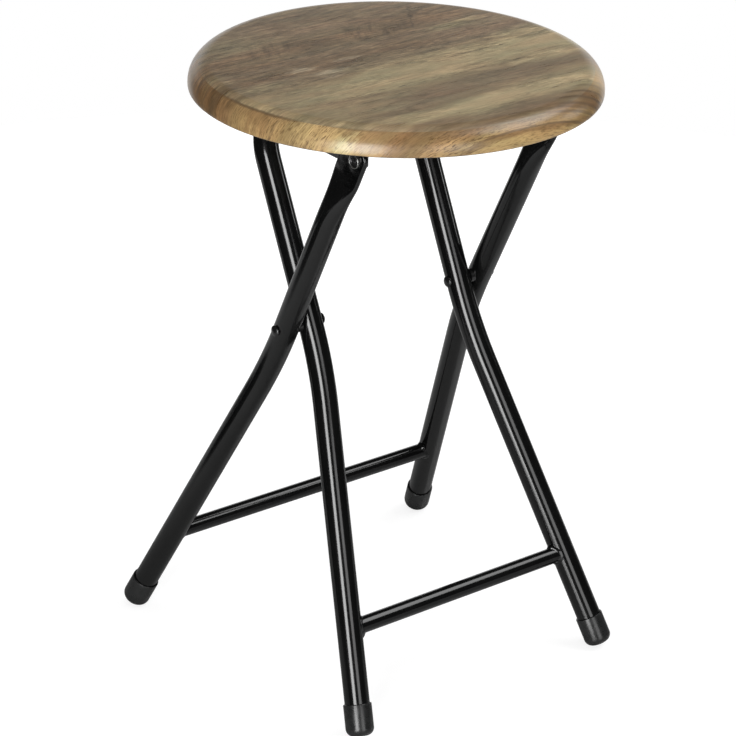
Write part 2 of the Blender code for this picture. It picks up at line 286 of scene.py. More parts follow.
def minus(a, b):
    return calc("SUBTRACT", a, b)


def most(a, b):
    return calc("MAXIMUM", a, b)


def times(first, *others):
    for other in others:
        first = calc("MULTIPLY", first, other)
    return first


def swing(value, width):  # a noise made to sway about nought
    return times(minus(value, 0.5), width)


def varied(value, centre, span):  # a noise made to vary about a centre
    return plus(times(value, span), centre - span / 2)


def vectorCalc(operation, a, b=(0, 0, 0)):
    node = addNode("VectorMath", {0: a, 1: b}, operation=operation)
    return node.outputs["Value" if operation in ("LENGTH", "DISTANCE", "DOT_PRODUCT") else "Vector"]


def axes(vector):
    return addNode("SeparateXYZ", {"Vector": vector}).outputs


def moved(where, shift=(0, 0, 0), turn=0, scale=(1, 1, 1)):
    inputs = {"Vector": where, "Location": shift, "Rotation": (0, 0, turn), "Scale": scale}
    return addNode("Mapping", inputs).outputs[0]


def mix(share, a, b, blend="MIX"):
    node = addNode("Mix", data_type="RGBA", blend_type=blend, clamp_result=False)
    for value, place in ((share, 0), (a, 6), (b, 7)):
        link(value, node.inputs[place])
    return node.outputs[2]


def noise(where, stretch, detail, rough, shift=(0, 0, 0)):
    place = moved(where, shift, scale=three(stretch))
    inputs = {"Vector": place, "Scale": 1, "Detail": detail, "Roughness": rough}
    return addNode("TexNoise", inputs).outputs["Fac"]


def ramp(share, stops):
    node = addNode("ValToRGB", {"Fac": share})
    points = node.color_ramp.elements
    while len(points) < len(stops):
        points.new(0.5)
    for point, (place, colour) in zip(points, stops):
        point.position = place
        point.color = (*three(colour), 1)
    return node.outputs["Color"]


def shades(share, dark, light, low=0.3, high=0.7):
    return ramp(share, [(low, dark), (high, light)])


def between(value, low, high, toLow=0, toHigh=1):
    inputs = {"Value": value, "From Min": low, "From Max": high, "To Min": toLow, "To Max": toHigh}
    return addNode("MapRange", inputs, interpolation_type="SMOOTHSTEP").outputs["Result"]


def coat(shader, colour, rough):
    link(colour, shader.inputs["Base Color"])
    link(rough, shader.inputs["Roughness"])


def addBump(shader, height, distance, strength=1):
    bump = addNode("Bump", {"Height": height, "Distance": distance, "Strength": strength})
    link(bump.outputs["Normal"], shader.inputs["Normal"])


# Wood-effect foil of the seat, printed flat on the top and on over the round edge.
# Boards, patches, lines, rows, zones and splits are in millimetres from its middle, other lengths in metres.
foil = {
    "sheet": 0.36,  # side of the printed square
    "tilt": 0.05,  # how far the boards slant across the sheet
    "waver": 0.024,  # slow waves of the boards' edges
    "fray": 0.013,  # fine fraying of them
    "raggedEnds": 0.05,  # the same at the ends of the patches
    "edgeStart": 0.1451,  # from here outwards the print is golden
    "edgeFade": 0.0003, "edgeGain": (1.12, 0.96, 0.75),
    "edgeCalm": 0.5,  # share of the streaks that the edge keeps
    "underside": (0.4541, 0.4537),  # heights between which the backing starts
    "rough": (0.3, 0.16),  # middle and span
    "bump": (6e-5, 0.5),
    "tones": {
        "umber": (0.166, 0.113, 0.062), "taupe": (0.181, 0.13, 0.076), "walnut": (0.21, 0.16, 0.09),
        "oak": (0.264, 0.206, 0.114), "tan": (0.331, 0.262, 0.146), "straw": (0.385, 0.305, 0.172),
        # the pale cream tone is the colour of a painted highlight on the seat's edge
        "cream": (0.42, 0.4, 0.26), "rust": (0.214, 0.153, 0.092), "dust": (0.33, 0.262, 0.175),
        "bark": (0.1, 0.057, 0.023), "shadow": (0.085, 0.056, 0.032), "fleck": (0.04, 0.028, 0.016),
    },
    # boards of the print from front to back
    "boards": [
        (-175, "tan"), (-154.5, "tan"), (-151.2, "umber"), (-147.5, "oak"), (-144, "walnut"),
        (-139.5, "umber"), (-135, "taupe"), (-124, "walnut"), (-114, "tan"), (-100, "tan"), (-91, "walnut"),
        (-80, "taupe"), (-66, "taupe"), (-56, "walnut"), (-47, "oak"), (-40, "tan"), (-20, "tan"),
        (-10, "oak"), (-1, "walnut"), (8, "taupe"), (18, "umber"), (30, "umber"), (40, "taupe"),
        (50, "umber"), (72, "umber"), (86, "taupe"), (135, "taupe"),
    ],
    # worn and stained patches: middle, half length, half width, tone and share
    "patches": [
        (95, 30, 60, 30, "rust", 0.8), (88, 42, 40, 8, "oak", 0.95), (-105, -30, 45, 22, "walnut", 0.5),
        (-92, -72, 50, 20, "oak", 0.75), (-70, -50, 45, 5, "taupe", 0.6), (-70, -99, 36, 8, "tan", 0.7),
        (-66, -121, 44, 11, "taupe", 0.9), (-112, -84, 22, 12, "oak", 0.95), (-66, -128, 32, 6, "umber", 0.7),
        (-98, -108, 26, 10, "taupe", 0.7), (-115, 0, 30, 7, "oak", 0.7), (-60, 24, 55, 12, "umber", 0.5),
        (-95, 12, 18, 6, "shadow", 0.4), (0, 10, 45, 8, "walnut", 0.6), (100, -54, 45, 13, "tan", 0.8),
        (100, -84, 35, 12, "oak", 0.6), (20, -66, 50, 12, "taupe", 0.4), (30, -103, 90, 11, "straw", 0.8),
        (10, -128, 60, 8, "taupe", 0.5), (-30, -136, 40, 6, "umber", 0.5), (-134, -42, 12, 10, "taupe", 0.5),
        (-136, 26, 12, 40, "walnut", 0.6), (100, 78, 35, 22, "umber", 0.7), (-20, 103, 30, 6, "rust", 0.7),
        (-80, 86, 50, 20, "walnut", 0.7), (-10, 92, 40, 8, "rust", 0.6), (-72, 20, 14, 7, "dust", 0.6),
        (-57, 5, 17, 5, "dust", 0.55), (-30, 22, 13, 4, "dust", 0.45), (-60, -4, 12, 4, "dust", 0.45),
    ],
    # the same, on the edge alone; the pale cream one at (-126, -99) is a painted highlight of the key light
    # on the lower front edge
    "edgePatches": [
        (-150, 34, 22, 34, "shadow", 0.55), (-148, -32, 14, 20, "umber", 0.7),
        (-128, -78, 22, 24, "straw", 0.9), (-92, -121, 22, 12, "umber", 0.7),
        (82, -130, 30, 14, "shadow", 0.45), (-126, -99, 18, 10, "cream", 0.9),
        (-80, -142, 40, 7, "straw", 0.5), (94, -122, 16, 12, "oak", 0.6),
    ],
    # stretch along and across the grain, detail, roughness and shift of each noise
    "noises": {
        "wave": (7, 22, 2, 0.5, 3.1, 0.4), "fray": (22, 230, 6, 0.65, 1.7, 2),
        "blotch": (60, 190, 5, 0.65, 4.4, 1.3), "tint": (18, 70, 3, 0.5, 5, 8.1),
        "busy": (16, 55, 3, 0.5, 7.7, 4.1), "drift": (14, 48, 5, 0.6, 0, 0),
        "streak": (26, 160, 3.5, 0.55, 2.3, 5.1), "hair": (70, 500, 3.5, 0.55, 4.6, 10.2),
        "fibre": (150, 1300, 2, 0.5, 6.9, 15.3), "fleck": (110, 900, 4, 0.62, 8, 3.3),
        "spread": (25, 90, 3, 0.6, 2, 7.7), "pepper": (190, 1200, 3, 0.6, 1, 6.6),
    },
    # where a noise or a place fades in: from and to, and the strength there
    "masks": {
        "busy": ("busy", 0.38, 0.62, 0.55, 1.25), "frontToBack": ("across", -0.025, 0.005, 0.62, 1.55),
        "sprinkle": ("spread", 0.52, 0.66, 0, 0.25), "edgeFlecks": ("spread", 0.42, 0.64, 0, 0.45),
        "fleck": ("fleck", 0.49, 0.64), "pepper": ("pepper", 0.51, 0.62),
        "pepperSpread": ("spread", 0.36, 0.6, 0.3, 0.85), "pepperRight": ("along", 0, 0.07, 1, 0.25),
    },
    "grain": {"drift": 0.15, "streak": 0.27, "hair": 0.26, "fibre": 0.24},  # depths, broad to fine
    "grainStops": (0.36, 0.64), "rosy": [(0.35, (0.95, 1, 1)), (0.65, (1.06, 0.99, 0.98))],
    # dark lines of the grain over the edge: height, left end, right end, half width, share
    "lines": [
        (-150.8, -40, 80, 0.8, 0.6), (-139.3, -60, 80, 1, 0.35), (17.5, -175, -130, 5, 0.5),
        (33, -175, -132, 1.2, 0.4), (48, -175, -125, 2.5, 0.4), (-48, -170, -140, 1.2, 0.35),
        (-145.5, -10, 90, 0.6, 0.3), (-143, 30, 105, 1.2, 0.55), (-136.5, 40, 110, 1.2, 0.55),
        (-130, 45, 118, 1.3, 0.6), (-123.5, 55, 124, 1.3, 0.55), (-116.5, 68, 130, 1.2, 0.4),
    ],
    "lineSway": 0.2, "row": (0.4, 0.2),  # shares that are full, and that fade at the ends
    "oval": (1.1, 0.35),  # shares of a patch's size where it starts and is full
    # where the border of the edge is dark: middle, half length, half width, share
    "rimShades": [(-141, -28, 22, 50, 0.75), (-110, -96, 30, 24, 0.35)],
    "border": (0.0003, 0.0016), "borderSway": 0.15,
    # rows of dark flecks: height, left end, right end, half width
    "fleckRows": [
        (-15.5, 10, 95, 2.2), (-47.5, -105, 40, 3), (55.5, -125, -80, 1.2), (16, -50, 60, 7),
        (-75, -100, -60, 3), (43, -20, 100, 2.5), (-109, 20, 100, 2), (-2, -100, -40, 3), (-48, 65, 95, 2.5),
    ],
    "fleckShare": 0.75,
    "pepperZone": (-55, -142, 60, 24),  # where the edge has the most dark specks
    # old saw marks
    "saw": {"turn": radians(60), "noise": ((26, 150, 1), 4, 0.6), "share": 0.8,
            "zones": [(-62, 66, 28, 26), (22, 66, 52, 26)], "tones": [(0.38, 1.1), (0.5, 1), (0.64, 0.56)]},
    # splits across the grain from start to end
    "split": {"places": [((54, 50), (87, 100)), ((66, 72), (90, 87))], "wander": ((130, 130, 1), 4, 0.6),
              "sway": 0.012, "line": (0.0002, 0.0014), "ends": (0.38, 0.14), "share": 0.5},
    "backing": {"noise": (420, 3, 0.6), "tones": ((0.06, 0.046, 0.034), (0.092, 0.072, 0.054)),
                "rough": 0.25},  # added to the foil's
}


def bandMask(value, centre, half, soft):  # one inside the band, fading at both sides
    return between(calc("ABSOLUTE", minus(value, centre)), half + soft, half)


def rowMask(along, across, y, left, right, half):  # a strip along the grain with soft ends
    y, half, centre, long = y * mm, half * mm, (left + right) / 2 * mm, (right - left) * mm
    core, ends = foil["row"]
    return times(bandMask(across, y, half * core, half), bandMask(along, centre, long * core, long * ends))


def ovalMask(where, x, y, long, wide):  # one in the middle of an oval, fading to its rim
    sized = moved(where, (-x / long, -y / wide, 0), scale=(1 / (long * mm), 1 / (wide * mm), 0))
    return between(vectorCalc("LENGTH", sized), *foil["oval"])


def splitMask(where, start, end):  # a thin line from start to end on the sheet
    start, end, (core, ends) = Vector(start) * mm, Vector(end) * mm, foil["split"]["ends"]
    way, centre = end - start, (start + end) / 2
    level = moved(vectorCalc("ADD", where, (-centre.x, -centre.y, 0)), turn=-atan2(way.y, way.x))
    wander = swing(noise(level, *foil["split"]["wander"]), foil["split"]["sway"])
    along, across, _ = axes(level)
    ends = bandMask(along, 0, way.length * core, way.length * ends)
    return times(bandMask(plus(across, wander), 0, *foil["split"]["line"]), ends)


def laid(colour, tone, *masks):  # a tone laid on as far as all the masks let it
    return mix(times(*masks), colour, foil["tones"][tone])


def stained(colour, where, patches, keep=1):  # the patches laid on one by one
    for *zone, tone, share in patches:
        colour = laid(colour, tone, ovalMask(where, *zone), share, keep)
    return colour


def woodFoil():
    shader, where = newFinish("seatFoil")
    size, edge, fade, saw, split, backing = pick(foil, "sheet edgeStart edgeFade saw split backing")
    flat = addNode("UVMap", uv_map="print").outputs["UV"]
    sheet = vectorCalc("MULTIPLY", vectorCalc("ADD", flat, (-0.5, -0.5, 0)), (size, size, size))
    along, across, _ = axes(sheet)
    layers, masks = {"along": along, "across": across}, {}
    for name, (long, wide, detail, rough, *shift) in foil["noises"].items():
        layers[name] = noise(sheet, (long, wide, 1), detail, rough, (*shift, 0))
    for name, (layer, *limits) in foil["masks"].items():
        masks[name] = between(layers[layer], *limits)
    # Boards of the print, with wavy and frayed edges
    wave = plus(swing(layers["wave"], foil["waver"]), swing(layers["fray"], foil["fray"]))
    slant = minus(wave, times(along, foil["tilt"]))
    place = plus(plus(across, slant), size / 2)
    stops = [((y * mm + size / 2) / size, foil["tones"][tone]) for y, tone in foil["boards"]]
    colour = ramp(calc("DIVIDE", place, size), stops)
    # Patches with ragged outlines, and the golden edge
    fromMiddle = vectorCalc("LENGTH", sheet)
    onEdge = between(fromMiddle, edge - fade, edge + fade)
    endsMoved = plus(along, swing(layers["blotch"], foil["raggedEnds"]))
    ragged = addNode("CombineXYZ", {"X": endsMoved, "Y": plus(across, wave)}).outputs[0]
    colour = stained(colour, ragged, foil["patches"])
    colour = stained(colour, ragged, foil["edgePatches"], onEdge)
    colour = mix(onEdge, colour, mix(1, colour, foil["edgeGain"], "MULTIPLY"))
    # Rosy drifts, then streaks and fibres along the grain
    colour = mix(1, colour, ramp(layers["tint"], foil["rosy"]), "MULTIPLY")
    calm = between(onEdge, 0, 1, 1, foil["edgeCalm"])
    keep = times(calm, masks["busy"], masks["frontToBack"])
    low, high = foil["grainStops"]
    for name, depth in foil["grain"].items():
        shade = ramp(layers[name], [(low, 1 - depth), (0.5, 1), (high, 1 + depth)])
        colour = mix(keep, colour, shade, "MULTIPLY")
    # Lines of the grain, and the dark border of the edge
    wavy = plus(across, times(wave, foil["lineSway"]))
    for *row, share in foil["lines"]:
        colour = laid(colour, "shadow", rowMask(along, wavy, *row), share)
    border = bandMask(plus(fromMiddle, times(wave, foil["borderSway"])), edge, *foil["border"])
    for *zone, share in foil["rimShades"]:
        colour = laid(colour, "shadow", ovalMask(sheet, *zone), border, share)
    # Dark flecks, thick in the rows and on the edge, where specks join them
    rows = masks["sprinkle"]
    for row in foil["fleckRows"]:
        rows = most(rows, rowMask(along, across, *row))
    rows = most(times(rows, foil["fleckShare"]), times(onEdge, masks["edgeFlecks"]))
    colour = laid(colour, "fleck", masks["fleck"], rows)
    peppered = most(masks["pepperSpread"], ovalMask(sheet, *foil["pepperZone"]))
    colour = laid(colour, "bark", masks["pepper"], onEdge, peppered, masks["pepperRight"])
    # Old saw marks and splits across the darker boards
    marks = ramp(noise(moved(sheet, turn=-saw["turn"]), *saw["noise"]), saw["tones"])
    sawn = 0
    for zone in saw["zones"]:
        sawn = most(ovalMask(ragged, *zone), sawn)
    colour = mix(times(sawn, saw["share"]), colour, mix(1, colour, marks, "MULTIPLY"))
    for start, end in split["places"]:
        colour = laid(colour, "fleck", splitMask(sheet, start, end), split["share"])
    # Plain backing under the board
    under = between(axes(where)["Z"], *foil["underside"])
    rough = plus(varied(layers["streak"], *foil["rough"]), times(under, backing["rough"]))
    plain = shades(noise(where, *backing["noise"]), *backing["tones"])
    coat(shader, mix(under, colour, plain), rough)
    addBump(shader, layers["fibre"], *foil["bump"])


# Gloss black paint of the tubes, with dust, orange peel, and dents where the legs are flattened
paint = {
    "tones": ((0.0022, 0.0023, 0.0023), (0.0032, 0.0033, 0.0033), 0.35, 0.65), "cloud": (26, 4, 0.6),
    "rough": (0.14, 0.08), "dust": (0.02, 0.021, 0.021), "dustRough": 0.3, "speck": (310, 2, 0.5),
    "dustFade": (0.74, 0.82, 0, 0.35), "peel": (520, 2, 0.5), "peelHeight": 1e-5, "dents": (62, 1, 0.4),
    "dentFade": (0.034, 0.0204, 0, 0.0016),
}
# Where the hinge pins and the sheets round them lie
joints = {
    "pin": (-0.07532765, 0.4373), "earInner": 0.0866, "earOuter": 0.0881, "flatInner": 0.0893,
    "flatOuter": 0.0933,
}


def fromPin(place):  # how far a point lies from the hinge pins' line
    return vectorCalc("DISTANCE", vectorCalc("MULTIPLY", place, (0, 1, 1)), (0, *joints["pin"]))


def framePaint():
    shader, place = newFinish("framePaint")
    cloud = noise(place, *paint["cloud"])
    base = shades(cloud, *paint["tones"])
    dust = between(noise(place, *paint["speck"]), *paint["dustFade"])
    rough = plus(varied(cloud, *paint["rough"]), times(dust, paint["dustRough"]))
    coat(shader, mix(dust, base, paint["dust"]), rough)
    peel = times(noise(place, *paint["peel"]), paint["peelHeight"])
    dents = times(noise(place, *paint["dents"]), between(fromPin(place), *paint["dentFade"]))
    addBump(shader, plus(peel, dents), 1)


# Satin black of the rails, rubber of the feet, plastic of the catch and the washers:
# dark and light tone, roughness, scales of the clouds and the grain, and bump
satin = {
    "railPaint": ((0.005, 0.005, 0.0055), (0.009, 0.009, 0.0095), 0.3, 60, 900, 4e-5),
    "footRubber": ((0.008, 0.0084, 0.0083), (0.015, 0.0154, 0.0153), 0.28, 160, 900, 9e-5),
    "catchPlastic": ((0.012, 0.012, 0.013), (0.02, 0.02, 0.021), 0.44, 80, 2200, 6e-5),
    "washerNylon": (0.008, 0.014, 0.13, 120, 1500, 2e-5),
}
satinGrain = {
    "dust": 0.05, "fade": (0.62, 0.8, 0, 0.25), "roughSpan": 0.16, "cloud": (4, 0.6),
    "grain": (3, 0.6), "strength": 0.5,
}


def satinFinish(name):
    dark, light, rough, cloudScale, grainScale, bump = satin[name]
    shader, place = newFinish(name)
    cloud = noise(place, cloudScale, *satinGrain["cloud"])
    grain = noise(place, grainScale, *satinGrain["grain"])
    dusty = mix(between(grain, *satinGrain["fade"]), shades(cloud, dark, light), satinGrain["dust"])
    coat(shader, dusty, varied(cloud, rough, satinGrain["roughSpan"]))
    addBump(shader, grain, bump, satinGrain["strength"])


# Black rivets and zinc screws: dark and light tone, roughness, metal
plating = {
    "rivetBlack": (0.004, 0.01, 0.16, 0),
    "screwZinc": ((0.36, 0.35, 0.32), (0.55, 0.55, 0.54), 0.34, 1),
}
scratches = {
    "cloud": (240, 4, 0.6), "span": (0.3, 0.72), "noise": ((300, 2600, 2600), 3, 0.6), "roughSpan": 0.2,
    "bump": (2e-5, 0.4),
}


def platedSteel(name):
    dark, light, rough, metal = plating[name]
    shader, place = newFinish(name)
    scratch = noise(place, *scratches["noise"])
    base = shades(noise(place, *scratches["cloud"]), dark, light, *scratches["span"])
    coat(shader, base, varied(scratch, rough, scratches["roughSpan"]))
    link(metal, shader.inputs["Metallic"])
    addBump(shader, scratch, *scratches["bump"])


# Hinge rivets, black with the rim worn to bare steel
wornRim = {
    "steel": (0.26, 0.26, 0.25), "reach": (0.0044, 0.0047), "rough": (0.24, 0.1), "scuff": (900, 4, 0.6),
    "scuffFade": (0.3, 0.55, 0.5, 1),
}


def hingeSteel():
    shader, place = newFinish("hingeSteel")
    scuff = noise(place, *wornRim["scuff"])
    bare = times(between(fromPin(place), *wornRim["reach"]), between(scuff, *wornRim["scuffFade"]))
    black = shades(scuff, *plating["rivetBlack"][:2])
    coat(shader, mix(bare, black, wornRim["steel"]), varied(scuff, *wornRim["rough"]))
    link(bare, shader.inputs["Metallic"])


woodFoil()
framePaint()
hingeSteel()
for name in satin:
    satinFinish(name)
for name in plating:
    platedSteel(name)
print("finishes mixed:", ", ".join(finishes))


# Seat board
board = {
    "radius": 0.1524, "top": 0.4723, "thickness": 0.019, "topRound": 0.0165, "lowerRound": 0.0012,
    "rings": (0.03, 0.07, 0.11), "steps": 192, "topSteps": 24, "lowerSteps": 4,
}


def printPlace(co):  # where a point of the board lies on the sheet
    radius, top, bend = pick(board, "radius top topRound")
    flat, far, rise = radius - bend, hypot(co.x, co.y), co.z - (top - bend)
    if rise <= 0:
        reach = flat + bend * pi / 2 - rise
    elif far > flat:
        reach = flat + bend * atan2(far - flat, rise)
    else:
        reach = far
    share = reach / far / foil["sheet"] if far > mergeGap else 0
    return 0.5 + co.x * share, 0.5 + co.y * share


def makeBoard():
    radius, top, thickness, bend, soft, rings = pick(board, "radius top thickness topRound lowerRound rings")
    low = top - thickness
    under = [(0, low)] + [(r, low) for r in rings]
    lower = arc((radius - soft, low + soft), soft, -90, 0, board["lowerSteps"])
    upper = arc((radius - bend, top - bend), bend, 0, 90, board["topSteps"])
    over = [(r, top) for r in reversed(rings)] + [(0, top)]
    piece = turned("seatBoard", under + lower + upper + over, board["steps"])
    layer = piece.data.uv_layers.new(name="print")
    for loop in piece.data.loops:
        layer.data[loop.index].uv = printPlace(piece.data.vertices[loop.vertex_index].co)
    finishPiece(piece, "seat", "seatFoil")


makeBoard()
print("seat board made")


# Tube frames in each frame's own plane: x across, z up along it from the pivot
tubes = {
    "pivot": (0, 0.0064, 0.279), "lean": radians(26.02), "radius": 0.0095, "wall": 0.0012, "sides": 48,
    "bendDrop": 0.0353, "bendRadius": 0.36, "bendSteps": 14,
    "lift": 0.0059,  # the tubes end this far above the soles
    "outer": {"half": 0.0923, "splay": radians(10.77), "foot": (0.144, -0.3071)},
    "inner": {"half": 0.0707, "splay": radians(9.89), "foot": (0.1181, -0.3071)},
}
places = {
    "outer": at(*tubes["pivot"]) @ spun(tubes["lean"], "X"),
    "inner": at(*tubes["pivot"]) @ spun(-tubes["lean"], "X"),
}


def setInFrame(piece, kind, finish="framePaint"):
    putAt(piece, places[kind])
    finishPiece(piece, kind + "_frame", finish)


def layRing(bm, key, ring):  # centre, tilt, two half sizes and squareness
    (x, z), tilt, thin, wide, square = ring
    for v in bm.verts:
        if v.select:
            a = 2 * pi * (v[key] + 0.5) / tubes["sides"]
            across = thin * cos(a)
            slot = thin * sin(a) + copysign(wide - thin, sin(a))
            depth = wide * sin(a) * (1 - square) + slot * square
            v.co = (x + across * cos(tilt), depth, z + across * sin(tilt))


def drawTube(name, rings):  # a ring extruded from station to station
    radius, steps = pick(tubes, "radius sides")
    piece = newPiece(name, mesh.primitive_circle_add, vertices=steps, radius=radius)
    editMode()
    bm = bmesh.from_edit_mesh(piece.data)
    key = bm.verts.layers.int.new("ringPlace")
    for i, v in enumerate(bm.verts):
        v[key] = i
    layRing(bm, key, rings[0])
    for ring in rings[1:]:
        extrude((0, 0, mm))
        bm = bmesh.from_edit_mesh(piece.data)
        layRing(bm, bm.verts.layers.int["ringPlace"], ring)
    bmesh.update_edit_mesh(piece.data)
    selectAll()
    mesh.normals_make_consistent(inside=False)
    editMode(False)
    piece.data.attributes.remove(piece.data.attributes["ringPlace"])
    return piece


def lowerLeg(line):  # foot end, straight run, then the bend up to the pivot
    r, lift, drop, bend, steps = pick(tubes, "radius lift bendDrop bendRadius bendSteps")
    half, splay, (x, z) = pick(line, "half splay foot")
    rings = [((x - lift * sin(splay), z + lift * cos(splay)), splay)]
    bendTop = bend * tan(splay / 2) - drop
    for share in reversed(evenly(steps)):
        t = splay * share
        rings.append(((half + bend * (1 - cos(t)), bendTop - bend * sin(t)), t))
    return [(centre, t, r, r, 0) for centre, t in rings]


# Outer legs with their pressed-flat hinge ends
legEnd = {
    "pinReach": 0.17811, "below": 0.017, "above": 0.009, "corner": 0.006, "cornerTurn": 65, "cornerSteps": 8,
    "taper": 0.051, "half": 0.002, "inset": 0.001, "steps": 32, "easeIn": 0.6, "easeOut": 0.2,
}


def squeezedWidth(thin):  # the girth stays, so the tube widens as it is pressed
    return thin + (tubes["radius"] - thin) * pi / 2


def eased(t):  # a slow start, a straight run and a soft end
    soft, end = pick(legEnd, "easeIn easeOut")
    slope = 1 / (1 - (soft + end) / 2)
    if t < soft:
        return slope * t * t / (2 * soft)
    if t > 1 - end:
        return 1 - slope * (1 - t) ** 2 / (2 * end)
    return slope * (t - soft / 2)


def pressedEnd():
    reach, below, above, taper, inset = pick(legEnd, "pinReach below above taper inset")
    flat, corner, turn, steps = pick(legEnd, "half corner cornerTurn cornerSteps")
    half, r, start, rings = tubes["outer"]["half"], tubes["radius"], reach - below - taper, []
    for t in evenly(legEnd["steps"]):
        thin = r + (flat - r) * eased(t)
        centre = (half - inset * eased(t), start + taper * t)
        rings.append((centre, 0, thin, squeezedWidth(thin), eased(t) ** 2))
    cornerAt = (squeezedWidth(flat) - corner, reach + above - corner)
    for wide, z in arc(cornerAt, corner, 0, turn, steps):
        rings.append(((half - inset, z), 0, flat, wide, 1))
    return rings


def makeOuterLegs():
    right = drawTube("outerLegRight", lowerLeg(tubes["outer"]) + pressedEnd())
    for piece in (right, mirrored(right, "outerLegLeft")):
        thicken(piece, tubes["wall"])
        setInFrame(piece, "outer")


makeOuterLegs()
print("outer legs made")


# Inner frame, one tube bent over at the top
innerBend = {"radius": 0.055, "reach": 0.179382, "steps": 20}


def makeInnerTube():
    bend, reach, steps = pick(innerBend, "radius reach steps")
    half, r = lowerLeg(tubes["inner"]), tubes["radius"]
    x, z = tubes["inner"]["half"] - bend, reach - bend
    for share in evenly(steps):
        t = pi / 2 * share
        half.append(((x + bend * cos(t), z + bend * sin(t)), t, r, r, 0))
    other = [((-c[0], c[1]), pi - t, *rest) for c, t, *rest in reversed(half)]
    piece = drawTube("innerTube", half + other)
    thicken(piece, tubes["wall"])
    setInFrame(piece, "inner")


makeInnerTube()
print("inner tube made")


# Cross tubes, coped to the legs and welded round
stretcher = {
    "radius": 0.00635, "sides": 40, "stock": 0.2, "sink": 0.0005,
    "height": {"outer": -0.2277, "inner": -0.229},
    "weld": 0.0013, "weldSteps": 56, "weldRings": 6, "weldBulge": 0.6, "weldCrest": 0.8,
    "weldSag": {"outer": (0.8, 0.8), "inner": (2.2, 1)},  # left and right
    "ripple": (0.1, 7), "fineRipple": (0.07, 13, 1.3),  # size, waves round the tube, start
}


def legFace(line, y, z):  # x of a leg's inner side at a point of the cross tube
    axis = line["half"] + (-tubes["bendDrop"] - z) * tan(line["splay"])
    return axis - sqrt(max(tubes["radius"] ** 2 - y * y, 0)) / cos(line["splay"])


def weldFillet(line, z0, side, sag):  # an uneven bead from the cross tube to the leg
    r, size, sink, bulge, crest = pick(stretcher, "radius weld sink weldBulge weldCrest")
    (rise, waves), (fineRise, fineWaves, start) = pick(stretcher, "ripple fineRipple")
    slope = [(r + size * t, -size * (1 - t) * (1 + bulge * t)) for t in evenly(stretcher["weldRings"])]
    back = [(r + size, sink), (r - sink, sink), (r - sink, -size)]
    piece = turned("weldFillet", [back[-1]] + slope + back, stretcher["weldSteps"])
    for v in piece.data.vertices:
        a = atan2(v.co.y, v.co.x)
        up = sin(a)
        uneven = 1 + rise * sin(waves * a + side) + fineRise * sin(fineWaves * a + start)
        uneven *= 1 + (crest if up > 0 else sag) * up ** 4
        far = r + max(hypot(v.co.x, v.co.y) - r, -sink) * uneven
        y, z = far * cos(a), z0 + far * up
        v.co = (side * (legFace(line, y, z) + min(v.co.z * uneven, sink)), y, z)
    reskin(piece)
    return piece


def makeStretcher(kind):
    steps, r, stock, sink = pick(stretcher, "sides radius stock sink")
    line, z0 = tubes[kind], stretcher["height"][kind]
    piece = newPiece(kind + "Stretcher", mesh.primitive_cylinder_add, vertices=steps, radius=r, depth=stock)
    putAt(piece, at(0, 0, z0) @ spun(pi / 2, "Y"))
    for v in piece.data.vertices:
        v.co.x = copysign(legFace(line, v.co.y, v.co.z) - sink / 2, v.co.x)
    welds = [weldFillet(line, z0, side, sag) for side, sag in zip((-1, 1), stretcher["weldSag"][kind])]
    setInFrame(joined([piece] + welds), kind)


makeStretcher("outer")
makeStretcher("inner")
print("cross tubes welded")


# Foot sleeves
footCap = {
    "radius": 0.0107, "bore": 0.00965, "floor": 0.0055, "round": 0.006, "lip": 0.0005, "steps": 56,
    "roundSteps": 10, "lipSteps": 4, "length": {"outer": 0.025, "inner": 0.024},
}


def makeFeet():
    r, bore, floor, soft, lip = pick(footCap, "radius bore floor round lip")
    base = [(0, 0)] + arc((r - soft, soft), soft, -90, 0, footCap["roundSteps"])
    for kind, place in places.items():
        tall, (splay, (x, z)) = footCap["length"][kind], pick(tubes[kind], "splay foot")
        rim = arc((r - lip, tall - lip), lip, 0, 90, footCap["lipSteps"])
        inside = [(bore, tall - lip / 2), (bore, floor), (0, floor)]
        for label, side in sides:
            piece = turned(kind + "Foot" + label, base + rim + inside, footCap["steps"])
            putAt(piece, place @ at(side * x, 0, z) @ spun(-side * splay, "Y"))
            editMode()
            mesh.bisect(plane_co=(0, 0, 0), plane_no=(0, 0, 1), use_fill=True, clear_inner=True)
            cleanSkin()
            editMode(False)
            finishPiece(piece, kind + "_frame", "footRubber")


makeFeet()
print("feet made")


# Rivets and washers
rivet = {
    "shank": 0.003, "head": 0.0044, "height": 0.0023, "rim": 0.0004, "domeStep": 10, "steps": 48,
    "gap": 0.0003,
}
hingeHead = {
    "radius": 0.0055, "rim": 0.001, "rimSteps": 9, "tall": 0.0018, "dish": 0.0014, "dishFrom": 0.00115,
    "dishTo": 0.0015, "slope": 0.0003, "boss": 0.0017, "bossTall": 0.0005,
    "shoulder": (0.7, 0.8),  # shares of the boss's radius and height
}
hingeWasher = {"bore": 0.0033, "radius": 0.0065, "thick": 0.0006}
spacer = {"bore": 0.0033, "radius": 0.0055, "soft": 0.0003, "rings": 6, "steps": 64}


def domeHead(high, way):  # from the rim to the crown
    head, tall, rim, step = pick(rivet, "head height rim domeStep")
    turns = [radians(a) for a in range(step, 91, step)]
    dome = [(head * cos(a), high + way * (rim + (tall - rim) * sin(a))) for a in turns]
    return [(head, high), (head, high + way * rim)] + dome


